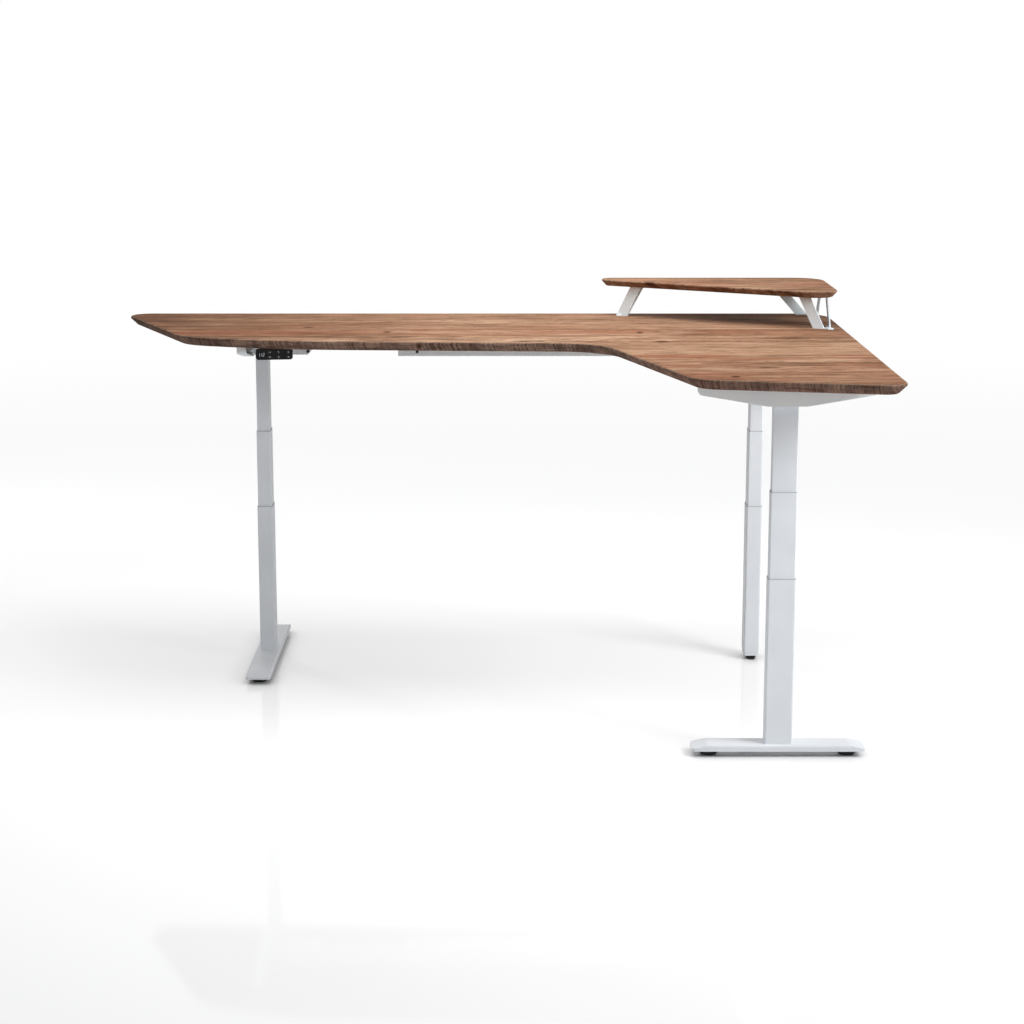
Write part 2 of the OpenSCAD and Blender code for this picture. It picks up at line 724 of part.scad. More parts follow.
// A rail's solid end shoe: it fills the housing or the tray around the rail and takes the
// two clamp screws. x runs away from the column, the shoe lies from x to x + l.
module shoe_screw_holes(x, z) {
    translate([x, 0, z]) rotate([90, 0, 0]) cylinder(d=clamp_d + 2 * clear, h=2 * tray_w, center=true);
}
module housing_shoe() {
    inner = housing_w - 2 * sheet - 2 * clear;
    difference() {
        intersection() {
            translate([0, inner / 2, housing_z]) rotate([90, 0, 0])
                linear_extrude(inner) housing_side(sheet);
            translate([housing_reach - sheet - rail_in, -inner / 2, housing_z])
                cube([rail_in, inner, housing_h - rail_drop - rail_h / 2]);
        }
        shoe_screw_holes(clamp_x, housing_z + clamp_up);
        rail_hollow(housing_reach - sheet - rail_in, rail_in);
    }
}
module rail_hollow(x, l) {
    translate([x - 1, -rail_w / 2 + sheet, rail_z + sheet])
        cube([l + 2, rail_w - 2 * sheet, rail_h - 2 * sheet]);
}
module rail(x, l) {
    translate([x, 0, rail_z + rail_h / 2]) rotate([0, 90, 0]) pipe(rail_h, rail_w, 4, sheet, l);
}
// rails that lie from a housing to the tray, along the leg's own +X
module main_rail(leg, gap) {
    start = housing_reach - sheet - rail_in;
    l = gap - start + rail_in_tray;
    inner = tray_w - 2 * sheet - 2 * clear;
    color("#dfe3e6") at_leg(leg) {
        rail(start, l);
        housing_shoe();
        difference() {
            translate([gap + tray_screw_in - rail_in / 2, -inner / 2, under_z - tray_h + sheet])
                cube([rail_in, inner, tray_h - sheet - rail_drop - rail_h / 2]);
            shoe_screw_holes(gap + tray_screw_in, under_z - tray_h + clamp_up + 4);
            rail_hollow(gap + tray_screw_in - rail_in / 2, rail_in);
        }
    }
}
module main_rail_left() { main_rail(0, run_length - left_leg_in - tray_right - tray_length); }
module main_rail_right() { main_rail(1, tray_right - corner_leg_in); }

// the return rail ends in a plate that is bolted to the front of the corner housing
return_gap = return_depth - right_leg_front - leg_back - housing_w / 2;
module return_rail() {
    start = housing_reach - sheet - rail_in;
    color("#dfe3e6") at_leg(2) {
        rail(start, return_gap - joint_plate - start);
        housing_shoe();
        difference() {
            translate([return_gap - joint_plate, -joint_half - 9, housing_z + 4])
                cube([joint_plate, 2 * joint_half + 18, housing_h - 5]);
            for (s = sides) translate([return_gap, s * joint_half, housing_z + housing_h / 2])
                rotate([0, 90, 0]) cylinder(d=bolt_d + 2 * clear, h=4 * joint_plate, center=true);
        }
    }
}

// The tray: a folded channel under the middle of the run, with a tab at each corner and a
// window behind the sockets of the control box.
module centre_tray() {
    z = under_z - tray_h;
    c = at(tray_mid, leg_back);
    l = tray_length;
    w = tray_w;
    color("#dfe3e6") translate([c[0], c[1], z]) difference() {
        union() {
            translate([-l / 2, 0, 0]) rotate([90, 0, 90]) linear_extrude(l) difference() {
                union() {
                    translate([0, w / 2]) plate(w, w, 3);
                    translate([-w / 2, w / 2]) square([w, tray_h - w / 2]);
                }
                translate([-w / 2 + sheet, sheet]) square([w - 2 * sheet, 2 * w]);
                translate([-w, tray_h]) square([2 * w, 2 * w]);
            }
            for (i = sides, s = sides)
                translate([i * (l / 2 - tray_tab_in) - tab_w / 2, s > 0 ? w / 2 - 1 : -w / 2 - tab_d + 1,
                           tray_h - sheet]) cube([tab_w, tab_d, sheet]);
        }
        for (i = sides, s = sides) {
            translate([i * (l / 2 - tray_tab_in), s * (w / 2 + housing_tab_out), tray_h - sheet - 1])
                cylinder(d=wood_d + 2 * clear, h=sheet + 2);
            translate([i * (l / 2 - tray_screw_in), s * w / 2, clamp_up + 4]) rotate([90, 0, 0])
                cylinder(d=clamp_d + 2 * clear, h=4 * sheet, center=true);
        }
        translate([-box_length / 2 + 20, w / 2 - sheet - 1, 6]) cube([box_length - 40, sheet + 2, 32]);
    }
}

module rail_clamp_screws() {
    color("#1d1f22") {
        for (i = [0:2]) at_leg(i) for (s = sides)
            translate([clamp_x, s * housing_w / 2, housing_z + clamp_up]) rotate([s * 90, 0, 0])
                screw(clamp_head_d, clamp_head_h, clamp_d, 12);
        for (i = sides, s = sides)
            let (p = at(tray_mid + i * (tray_length / 2 - tray_screw_in), leg_back - s * tray_w / 2))
            translate([p[0], p[1], under_z - tray_h + clamp_up + 4]) rotate([s * 90, 0, 0])
                screw(clamp_head_d, clamp_head_h, clamp_d, 12);
    }
}

// The control box lies on the tray's floor. Its back carries the mains inlet with three
// blades and three shallow leg sockets.
inlet_w = 27;
inlet_h = 20;
inlet_d = 16;
inlet_in = 50;
module control_box() {
    z = under_z - tray_h + sheet;
    w = tray_w - 2 * sheet - 2 * clear;
    h = 38;
    c = at(tray_mid, leg_back);
    inlet_x = box_length / 2 - inlet_in;
    color("#26282b") translate([c[0], c[1], z]) {
        difference() {
            linear_extrude(h) plate(box_length, w, 4);
            translate([inlet_x - inlet_w / 2, w / 2 - inlet_d, 9]) cube([inlet_w, inlet_d + 1, inlet_h]);
            for (i = [0:2]) translate([-box_length / 2 + 40 + 30 * i, w / 2 - 3, 12]) cube([18, 4, 12]);
        }
        for (i = [-1:1]) translate([inlet_x + 7 * i - 1, w / 2 - inlet_d - 1, i == 0 ? 19 : 14])
            cube([2, 9, 5]);
    }
}

// FEET
module stem_boss(y, z, h, d) {
    translate([0, y, z]) cylinder(d=d, h=h);
}

// A pressed foot: a long shell with sloped ends, open below, with a boss for each glide.
module long_foot(l) {
    reach = l / 2 - glide_in;
    difference() {
        union() {
            difference() {
                foot_form(l, foot_w, foot_h, 0);
                translate([0, 0, -skin]) foot_form(l, foot_w, foot_h, foot_wall);
            }
            for (s = sides) stem_boss(s * reach, foot_clear, foot_h - foot_wall + 1, stem_d + 8);
        }
        for (s = sides) translate([0, s * reach, foot_clear - 1])
            cylinder(d=stem_d + 2 * clear, h=foot_h - foot_wall + 0.5);
        bolt_holes(foot_clear - 1, foot_h + 2, bolt_d + 2 * clear);
    }
}
module foot_form(l, w, h, d) {
    a = l / 2 - d;
    b = w / 2 - d;
    f = min(5, w / 8);
    translate([0, 0, foot_clear]) intersection() {
        translate([-w, 0, 0]) rotate([90, 0, 90]) linear_extrude(2 * w)
            polygon([[-a, 0], [a, 0], [a, foot_lip - d / 2], [a - foot_slope + d / 4, h - d],
                     [-a + foot_slope - d / 4, h - d], [-a, foot_lip - d / 2]]);
        translate([0, l, 0]) rotate([90, 0, 0]) linear_extrude(2 * l)
            polygon([[-b, 0], [b, 0], [b, h - f], [b - 0.3 * f, h - 0.3 * f - d], [b - f, h - d],
                     [-b + f, h - d], [-b + 0.3 * f, h - 0.3 * f - d], [-b, h - f]]);
        linear_extrude(h) plate(2 * b, 2 * a, 10 - d);
    }
}
module left_foot() { color("#dfe3e6") at_leg(0) long_foot(left_foot_length); }
module right_foot() { color("#dfe3e6") at_leg(2) long_foot(right_foot_length); }

// The corner leg stands on a small block, hardly wider than its column.
module corner_foot() {
    h = corner_foot_h;
    color("#dfe3e6") at_leg(1) translate([0, 0, corner_foot_clear]) difference() {
        union() {
            difference() {
                linear_extrude(h) plate(corner_foot_w, corner_foot_d, 4);
                translate([0, 0, -1]) linear_extrude(h - 3)
                    plate(corner_foot_w - 2 * foot_wall, corner_foot_d - 2 * foot_wall, 2);
            }
            for (s = sides) stem_boss(s * corner_glide_in, 0, h, stem_d + 5);
        }
        for (s = sides) translate([0, s * corner_glide_in, -1]) cylinder(d=stem_d + 2 * clear, h=h + 2);
        bolt_holes(-1, h + 2, bolt_d + 2 * clear);
    }
}

module foot_bolts() {
    color("#8c9196") {
        for (i = [0, 2]) at_leg(i) for (x = sides, y = sides)
            translate([x * bolt_x, y * bolt_y, foot_top - foot_wall - skin])
                screw(bolt_head_d - 2, bolt_head_h, bolt_d, foot_wall + base_plate - 0.5);
        at_leg(1) for (x = sides, y = sides)
            translate([x * bolt_x, y * bolt_y, corner_foot_top - 4])
                screw(bolt_head_d - 2, bolt_head_h, bolt_d, base_plate + 3.5);
    }
}

// GLIDES
module glide(rim, sole, h, nut, nut_top, stem_top) {
    rotate_extrude() polygon([[0, 0], [sole / 2 - 1, 0], [sole / 2, 1], [rim / 2 - 1, h - 3],
        [rim / 2, h - 2], [rim / 2, h - 0.5], [rim / 2 - 0.5, h], [nut / 2, h], [nut / 2, nut_top],
        [stem_d / 2, nut_top], [stem_d / 2, stem_top], [0, stem_top]]);
}
module foot_glide(i, l, s) {
    color("#1b1c1e") at_leg(i) translate([0, s * (l / 2 - glide_in), 0])
        glide(pad_d, sole_d, pad_h, stem_d + 10, foot_clear - clear, foot_top - foot_wall - 1);
}
module corner_glide(s) {
    color("#1b1c1e") at_leg(1) translate([0, s * corner_glide_in, 0])
        glide(small_pad_d, small_pad_d - 4, small_pad_h, stem_d + 6, corner_foot_clear - clear,
              corner_foot_top + 15);
}
module left_front_glide() { foot_glide(0, left_foot_length, -1); }
module left_back_glide() { foot_glide(0, left_foot_length, 1); }
module right_outer_glide() { foot_glide(2, right_foot_length, -1); }
module right_inner_glide() { foot_glide(2, right_foot_length, 1); }
module corner_front_glide() { corner_glide(1); }
module corner_back_glide() { corner_glide(-1); }

// HAND CONTROL
// seen from the front: x to the right, y into the case, z up from the middle of the face
handset_z = under_z - handset_drop - handset_h / 2;
case_wall = 2;
key_x = [-14, 13.5, 44];
key_z = [7.5, -7.5];
flange_reach = 1.2;
flange_w = 70;
window_x = -39;
window_w = 25;
window_h = 18;
window_t = 1.5;
module at_handset() {
    translate([handset_at[0], handset_at[1], handset_z]) rotate([0, 0, handset_yaw]) children();
}
module handset_case() {
    w = handset_w;
    h = handset_h;
    d = handset_d;
    color("#0e0f11") at_handset() difference() {
        union() {
            intersection() {
                rotate([-90, 0, 0]) linear_extrude(d) plate(w, h, 9);
                translate([0, d / 2, -h]) linear_extrude(2 * h) plate(w, d, 2.5);
            }
            translate([-w / 2 + 14, 4, 0]) cube([w - 14, d - 4, h / 2 + handset_drop]);
            difference() {
                translate([-flange_w / 2, d - 1, h / 2 + handset_drop - sheet])
                    cube([flange_w, handset_flange + 1, sheet]);
                for (s = sides) translate([s * 20, d + handset_flange / 2, h / 2])
                    cylinder(d=wood_d + 2 * clear, h=2 * handset_drop + 4);
            }
        }
        translate([0, case_wall, 0]) rotate([-90, 0, 0])
            linear_extrude(d - 2 * case_wall) plate(w - 2 * case_wall, h - 2 * case_wall, 7);
        translate([window_x, -1, 0]) rotate([-90, 0, 0])
            linear_extrude(window_t + 1) plate(window_w + 0.4, window_h + 0.4, 2);
        for (x = key_x, z = key_z) translate([x, -1, z]) rotate([-90, 0, 0])
            linear_extrude(case_wall + 2) plate(key_w + 2 * clear, key_face + 2 * clear, 2);
    }
}
module handset_window() {
    color("#1a2026") at_handset() translate([window_x, 0.2, 0]) rotate([-90, 0, 0])
        linear_extrude(window_t - 0.2) plate(window_w, window_h, 2);
}
module key(x, z) {
    color("#15171a") at_handset() translate([key_x[x], -0.4, key_z[z]]) rotate([-90, 0, 0]) {
        linear_extrude(case_wall + 0.8) plate(key_w, key_face, 2);
        translate([0, 0, case_wall + 0.4 + clear]) linear_extrude(1.2)
            plate(key_w + 2 * flange_reach, key_face + 2 * flange_reach, 4.5);
        translate([0, 0, case_wall + 1]) cylinder(d=5, h=handset_d - 2 * case_wall - 0.6 - key_travel - clear);
    }
}
module key_up() { key(0, 0); }
module key_one() { key(1, 0); }
module key_two() { key(2, 0); }
module key_down() { key(0, 1); }
module key_three() { key(1, 1); }
module key_set() { key(2, 1); }

worktop();
shelf_board();
left_shelf_support();
back_shelf_support();
front_shelf_support();
wood_screws();
left_foot();
corner_foot();
right_foot();
foot_bolts();
left_outer_tube();
corner_outer_tube();
right_outer_tube();
left_lower_collar();
corner_lower_collar();
right_lower_collar();
left_fixed_screw();
corner_fixed_screw();
right_fixed_screw();
left_middle_tube();
corner_middle_tube();
right_middle_tube();
left_upper_collar();
corner_upper_collar();
right_upper_collar();
left_hollow_screw();
corner_hollow_screw();
right_hollow_screw();
left_inner_tube();
corner_inner_tube();
right_inner_tube();
left_gear_motor();
corner_gear_motor();
right_gear_motor();
left_motor_housing();
corner_motor_housing();
right_motor_housing();
left_side_bracket();
right_side_bracket();
bracket_bolts();
main_rail_left();
main_rail_right();
return_rail();
rail_clamp_screws();
centre_tray();
control_box();
handset_case();
handset_window();
key_up();
key_one();
key_two();
key_down();
key_three();
key_set();
left_front_glide();
left_back_glide();
right_outer_glide();
right_inner_glide();
corner_front_glide();
corner_back_glide();
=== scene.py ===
import math

import bmesh
import bpy
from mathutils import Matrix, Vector


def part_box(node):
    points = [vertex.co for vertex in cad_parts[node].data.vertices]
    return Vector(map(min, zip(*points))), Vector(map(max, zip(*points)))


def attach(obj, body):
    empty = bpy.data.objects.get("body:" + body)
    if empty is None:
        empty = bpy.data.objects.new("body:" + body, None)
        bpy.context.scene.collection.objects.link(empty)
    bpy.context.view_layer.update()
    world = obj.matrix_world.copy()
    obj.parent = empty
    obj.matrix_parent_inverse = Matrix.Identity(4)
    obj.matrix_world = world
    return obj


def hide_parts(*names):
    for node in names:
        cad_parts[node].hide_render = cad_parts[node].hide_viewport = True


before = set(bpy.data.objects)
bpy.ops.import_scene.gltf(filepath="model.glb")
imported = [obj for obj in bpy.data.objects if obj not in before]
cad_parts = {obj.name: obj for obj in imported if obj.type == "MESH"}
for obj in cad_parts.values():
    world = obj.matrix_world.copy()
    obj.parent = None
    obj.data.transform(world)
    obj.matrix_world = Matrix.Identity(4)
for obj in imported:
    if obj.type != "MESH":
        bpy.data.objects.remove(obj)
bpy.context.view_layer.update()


# Worktop: one L-shaped board of edge-glued hardwood staves, oiled. Its top arris is eased and
# its underside cut back by a deep bevel all round, so that it looks thinner than it is.
# It lies on the leg frame, screwed on from below, and moves up and down with it.

RUN_LENGTH = 2.357899
RETURN_LENGTH = 1.704022
CORNER_STEPS = 24
ARRIS_STEPS = 6
# points above this height are on the riser shelf, which is cut from another part of the stock
ABOVE_WORKTOP = 1.16
SHELF_STOCK = 0.31
STOCK_DEPTH = 1.76
# each stave: its distance from the back edge, then its lightness, redness and amount of figure
STAVES = ((0.0, (0.48, 0.30, 0.15)), (0.13, (0.55, 0.12, 0.20)), (0.25, (0.50, 0.25, 0.10)),
          (0.36, (0.54, 0.40, 0.15)), (0.455, (0.36, 0.55, 0.30)), (0.48, (0.53, 0.80, 0.30)),
          (0.62, (0.56, 0.12, 0.62)), (0.80, (0.58, 0.10, 0.20)), (0.94, (0.62, 0.14, 0.12)),
          (1.08, (0.54, 0.85, 0.25)), (1.24, (0.33, 0.80, 0.42)), (1.33, (0.54, 0.55, 0.25)),
          (1.44, (0.53, 0.85, 0.30)), (1.56, (0.44, 0.55, 0.30)))
# the knots that stand out on this desk: centre, then half the size each way
KNOTS = (((-0.288, 0.324, 1.119), (0.016, 0.024, 0.02)), ((0.517, 0.311, 1.119), (0.014, 0.030, 0.02)),
         ((0.572, 0.077, 1.119), (0.026, 0.026, 0.02)), ((0.725, -0.690, 1.119), (0.017, 0.024, 0.02)),
         ((0.197, 0.094, 1.119), (0.022, 0.016, 0.02)), ((-0.176, 0.078, 1.105), (0.010, 0.030, 0.017)),
         ((0.571, 0.697, 1.237), (0.024, 0.026, 0.010)), ((-0.55, 0.450, 1.119), (0.020, 0.018, 0.02)))


def feed(t, node, values):
    """Links or sets a node's inputs, and returns the node."""
    for key, value in values.items():
        if isinstance(value, bpy.types.NodeSocket):
            t.links.new(value, node.inputs[key])
        else:
            node.inputs[key].default_value = value
    return node


def wire(t, kind, values, out=0, **settings):
    """Adds a shader node, feeds it, and returns one of its outputs."""
    n = t.nodes.new("ShaderNode" + kind)
    for key, value in settings.items():
        setattr(n, key, value)
    return feed(t, n, values).outputs[out]


def calc(t, operation, a, b=0.0, c=0.0):
    """One arithmetic node."""
    return wire(t, "Math", {0: a, 1: b, 2: c}, operation=operation)


def rgba(colour):
    """A colour socket as it is, or three numbers with full alpha, or one number as a grey."""
    if isinstance(colour, bpy.types.NodeSocket):
        return colour
    return (tuple(colour) if isinstance(colour, (tuple, list)) else (colour,) * 3) + (1.0,)


def ramp(t, factor, stops, interpolation="LINEAR"):
    """A colour ramp whose stops are listed as (position, colour or grey)."""
    n = t.nodes.new("ShaderNodeValToRGB")
    n.color_ramp.interpolation = interpolation
    while len(n.color_ramp.elements) < len(stops):
        n.color_ramp.elements.new(0.5)
    for stop, (position, colour) in zip(n.color_ramp.elements, stops):
        stop.position = position
        stop.color = rgba(colour)
    return feed(t, n, {0: factor}).outputs[0]


def mix(t, factor, a, b, mode="MIX"):
    """Colour a, with colour b over it by the factor."""
    return wire(t, "Mix", {0: factor, 6: rgba(a), 7: rgba(b)}, out=2, data_type="RGBA", blend_type=mode)


def stain(t, colour, mask, strength, over):
    """The colour with another laid over it where the mask is."""
    return mix(t, calc(t, "MULTIPLY", mask, strength), colour, over)


def noise(t, place, scale, detail=3.0, rough=0.5, distort=0.0):
    return wire(t, "TexNoise", {"Vector": place, "Scale": scale, "Detail": detail,
                                "Roughness": rough, "Distortion": distort})


def streaks(t, place, scale, detail, rough=0.5, distort=0.0, shift=(0, 0, 0)):
    """Noise with its own scale on each axis; the grain of the wood runs along X."""
    drawn = wire(t, "Mapping", {"Vector": place, "Scale": scale, "Location": shift})
    return noise(t, drawn, 1.0, detail, rough, distort)


def new_group(name, inputs, outputs):
    """An empty shader node group with these named sockets, and its two end nodes' sockets."""
    t = bpy.data.node_groups.new(name, "ShaderNodeTree")
    for in_out, sockets in (("INPUT", inputs), ("OUTPUT", outputs)):
        for label, kind in sockets.items():
            t.interface.new_socket(label, in_out=in_out, socket_type="NodeSocket" + kind)
    return t, t.nodes.new("NodeGroupInput").outputs, t.nodes.new("NodeGroupOutput")


def placed(t, group, values):
    """A node group placed in a material with its own values; returns its outputs."""
    n = t.nodes.new("ShaderNodeGroup")
    n.node_tree = group
    return feed(t, n, values).outputs


def new_material(name):
    """A new material, its node tree, its shader and its texture position in metres."""
    m = bpy.data.materials.new(name)
    m.use_nodes = True
    t = m.node_tree
    t.nodes.clear()
    shader = t.nodes.new("ShaderNodeBsdfPrincipled")
    feed(t, t.nodes.new("ShaderNodeOutputMaterial"), {0: shader.outputs[0]})
    return m, t, shader, t.nodes.new("ShaderNodeTexCoord").outputs["Object"]


def stave_values(t, place, depth):
    """Lightness, redness and figure of the stave at this distance from the back edge."""
    wander = streaks(t, place, (1.8, 0.4, 0.4), 1.0)
    joint = calc(t, "MULTIPLY_ADD", wander, 0.004, calc(t, "DIVIDE", depth, STOCK_DEPTH))
    stops = [(start / STOCK_DEPTH, values) for start, values in STAVES]
    return wire(t, "SeparateColor", {0: ramp(t, joint, stops, "CONSTANT")}).node.outputs[:3]


def stave_colour(t, tone, bent, own, red, figure):
    """The face of the board: plain wood by its tone, with streaks, veins, flecks and pores."""
    red_streak, heartwood = (0.258, 0.092, 0.048), (0.085, 0.036, 0.022)
    fleck_brown, pore_brown = (0.080, 0.036, 0.020), (0.090, 0.042, 0.024)
    colour = ramp(t, tone, ((0.05, (0.062, 0.030, 0.017)), (0.28, (0.150, 0.076, 0.042)),
                            (0.50, (0.278, 0.158, 0.095)), (0.72, (0.392, 0.243, 0.155)),
                            (0.95, (0.500, 0.340, 0.228))))
    blush = streaks(t, bent, (2.6, 30.0, 30.0), 4.0, 0.62, shift=(3.1, 0.7, 0.2))
    blush = calc(t, "MULTIPLY", ramp(t, blush, ((0.44, 0.0), (0.60, 1.0))), red)
    colour = stain(t, colour, blush, 0.90, red_streak)
    vein = streaks(t, bent, (4.2, 30.0, 30.0), 3.0, 0.6, shift=(0.3, 5.7, 1.2))
    vein = ramp(t, vein, ((0.44, 0.0), (0.485, 1.0), (0.50, 0.0)))
    colour = stain(t, colour, vein, 0.60, heartwood)
    # figure: short dark flecks in patches
    fleck = ramp(t, streaks(t, bent, (26.0, 70.0, 70.0), 2.0, 0.7, 0.6), ((0.50, 0.0), (0.64, 1.0)))
    patch = streaks(t, own, (3.0, 9.0, 9.0), 2.0, shift=(0.4, 2.2, 0.0))
    patch = calc(t, "MULTIPLY", ramp(t, patch, ((0.42, 0.15), (0.60, 1.0))), figure)
    colour = stain(t, colour, calc(t, "MULTIPLY", fleck, patch), 0.75, fleck_brown)
    pore = ramp(t, streaks(t, bent, (55.0, 900.0, 900.0), 1.0), ((0.60, 0.0), (0.72, 1.0)))
    return stain(t, colour, pore, 0.50, pore_brown)


def knot_mask(t, place, own, fine, streak):
    """Small dark knots: a few by chance in every stave, and those that stand out."""
    spots = wire(t, "Mapping", {"Vector": own, "Scale": (3.4, 6.0, 6.0)})
    spot = wire(t, "TexVoronoi", {"Vector": spots, "Scale": 1.0, "Randomness": 1.0}, feature="F1")
    chosen = wire(t, "SeparateColor", {0: spot.node.outputs["Color"]})
    mask = ramp(t, spot, ((0.040, 1.0), (0.085, 0.55), (0.20, 0.0)))
    mask = calc(t, "MULTIPLY", mask, calc(t, "GREATER_THAN", chosen, 0.62))
    ragged = wire(t, "CombineXYZ", {0: calc(t, "MULTIPLY_ADD", fine, 0.02, -0.01),
                                    1: calc(t, "MULTIPLY_ADD", streak, 0.03, -0.015)})
    ragged = wire(t, "VectorMath", {0: place, 1: ragged}, operation="ADD")
    for middle, half in KNOTS:
        reach = wire(t, "VectorMath", {0: ragged, 1: middle}, operation="SUBTRACT")
        reach = wire(t, "VectorMath", {0: reach, 1: [1 / h for h in half]}, operation="MULTIPLY")
        reach = wire(t, "VectorMath", {0: reach}, out=1, operation="LENGTH")
        mask = calc(t, "MAXIMUM", mask, ramp(t, reach, ((0.40, 1.0), (0.70, 0.60), (1.0, 0.0))))
    return mask


def cutter_marks(t, x, y, z):
    """The board's edge: its shade with slanted cutter lines in clusters, its relief and ticks."""
    along = calc(t, "MULTIPLY_ADD", y, -0.8, calc(t, "MULTIPLY_ADD", z, -0.4, x))
    run = wire(t, "CombineXYZ", {0: along, 1: 0.0, 2: z})
    swirl = streaks(t, run, (9.0, 1.0, 34.0), 4.0, 0.6, 1.2)
    ticks = streaks(t, run, (170.0, 1.0, 9.0), 2.0, 0.6)
    relief = calc(t, "MULTIPLY_ADD", ticks, 0.50, calc(t, "MULTIPLY", swirl, 0.55))
    shade = ramp(t, relief, ((0.42, (0.38, 0.37, 0.39)), (0.52, (0.74, 0.74, 0.78)), (0.63, 1.0)))
    lines = ramp(t, streaks(t, run, (125.0, 1.0, 6.0), 2.0), ((0.50, 0.0), (0.62, 1.0)))
    bunch = ramp(t, streaks(t, run, (6.0, 1.0, 2.0), 2.0), ((0.38, 0.15), (0.58, 0.85)))
    shade = mix(t, calc(t, "MULTIPLY", lines, bunch), shade, (0.28, 0.25, 0.26))
    return shade, relief, ticks


def wood_group():
    """Colour, roughness and height of the oiled staves, from a position in metres."""
    edge_shade_grey, knot_brown, arris_highlight_colour = (0.300, 0.215, 0.175), (0.050, 0.018, 0.010), (0.440, 0.295, 0.205)
    t, given, result = new_group("oiled_staves", {"Place": "Vector", "Facing": "Vector"},
                                 {"Colour": "Color", "Rough": "Float", "Height": "Float"})
    place = given["Place"]
    x, y, z = wire(t, "SeparateXYZ", {0: place}).node.outputs
    shelf = calc(t, "GREATER_THAN", z, ABOVE_WORKTOP)
    depth = calc(t, "SUBTRACT", RETURN_LENGTH / 2, y)
    depth = calc(t, "MULTIPLY_ADD", shelf, SHELF_STOCK, depth)
    light, red, figure = stave_values(t, place, depth)
    # every stave samples its own part of the noise, and its grain bends a little
    away = wire(t, "CombineXYZ", {0: calc(t, "MULTIPLY", light, 37.0),
                                  1: calc(t, "MULTIPLY", red, 11.0),
                                  2: calc(t, "MULTIPLY", figure, 7.0)})
    own = wire(t, "VectorMath", {0: place, 1: away}, operation="ADD")
    sweep = streaks(t, own, (1.1, 5.0, 5.0), 2.0, 0.5, 0.4)
    bent = wire(t, "CombineXYZ", {0: x, 1: calc(t, "MULTIPLY_ADD", sweep, 0.16, y),
                                  2: calc(t, "MULTIPLY_ADD", sweep, 0.05, z)})
    bent = wire(t, "VectorMath", {0: bent, 1: away}, operation="ADD")
    # the tone is the stave's lightness, moved by clouds, bands, streaks and fine lines
    lively = calc(t, "MULTIPLY_ADD", figure, 1.05, 0.45)
    streak = streaks(t, bent, (9.0, 60.0, 60.0), 5.0, 0.66, 0.2)
    fine = streaks(t, bent, (14.0, 380.0, 380.0), 3.0, 0.6)
    tone = light
    for layer, amount in ((streaks(t, own, (0.8, 4.0, 4.0), 2.0), 0.55),
                          (streaks(t, bent, (3.0, 18.0, 18.0), 4.0, 0.62, 0.3),
                           calc(t, "MULTIPLY", lively, 1.35)),
                          (streak, calc(t, "MULTIPLY", lively, 1.30)),
                          (fine, 0.45)):
        tone = calc(t, "MULTIPLY_ADD", calc(t, "SUBTRACT", layer, 0.5), amount, tone)
    # painted shade: the wood is darkened towards the left end, where less lamp light falls
    left_end_shade = ramp(t, calc(t, "MULTIPLY_ADD", x, -0.4, 0.5), ((0.55, 0.0), (0.98, 0.22)))
    face = stave_colour(t, calc(t, "SUBTRACT", tone, left_end_shade), bent, own, red, figure)
    # the edge, picked out by the way its surface faces, is painted greyer and darker than the face, less so
    # on the shelf: painted shade for the bevel that faces down, with real cutter lines in it; its upper
    # arris gets a painted highlight
    tilt = wire(t, "SeparateXYZ", {0: given["Facing"]}, out=2)
    level = calc(t, "ABSOLUTE", tilt)
    side = calc(t, "MULTIPLY", ramp(t, level, ((0.80, 1.0), (0.97, 0.0))),
                calc(t, "MULTIPLY_ADD", shelf, -0.70, 1.0))
    shade, relief, ticks = cutter_marks(t, x, y, z)
    edge = mix(t, 1.0, mix(t, 0.45, face, edge_shade_grey), shade, "MULTIPLY")
    colour = mix(t, side, face, edge)
    colour = stain(t, colour, knot_mask(t, place, own, fine, streak), 0.90, knot_brown)
    # painted highlight: the upward-facing rounding of the top arris is lightened where light catches it
    arris_highlight = calc(t, "MULTIPLY", ramp(t, level, ((0.45, 0.0), (0.75, 1.0), (0.95, 0.0))),
                calc(t, "MULTIPLY", ticks, calc(t, "GREATER_THAN", tilt, 0.0)))
    colour = stain(t, colour, arris_highlight, 0.90, arris_highlight_colour)
    rough = calc(t, "MULTIPLY_ADD", side, 0.10, calc(t, "MULTIPLY_ADD", streak, 0.18, 0.44))
    height = calc(t, "ADD", calc(t, "MULTIPLY", fine, 0.5), calc(t, "MULTIPLY", streak, 0.5))
    height = calc(t, "MULTIPLY_ADD", calc(t, "MULTIPLY", side, relief), 1.5, height)
    feed(t, result, {"Colour": colour, "Rough": rough, "Height": height})
    return t


def bump(t, strength, distance, height, normal=None):
    """Relief from a height, laid on an earlier relief where one is given."""
    values = {"Strength": strength, "Distance": distance, "Height": height}
    if normal:
        values["Normal"] = normal
    return wire(t, "Bump", values)


def wood(name):
    """Oiled staves, with hardly any sheen."""
    m, t, shader, place = new_material(name)
    facing = t.nodes.new("ShaderNodeNewGeometry").outputs["Normal"]
    staves = placed(t, oiled_staves, {"Place": place, "Facing": facing})
    feed(t, shader, {"Base Color": staves["Colour"], "Roughness": staves["Rough"],
                     "Normal": bump(t, 0.35, 0.0006, staves["Height"]), "Specular IOR Level": 0.004})
    return m


def at(from_right, from_back):
    """A point in the frame, given from the desk's right and back edges."""
    return RUN_LENGTH / 2 - from_right, RETURN_LENGTH / 2 - from_back


def unit(a, b):
    """The direction from a to b in the plane."""
    d = math.hypot(b[0] - a[0], b[1] - a[1])
    return (b[0] - a[0]) / d, (b[1] - a[1]) / d


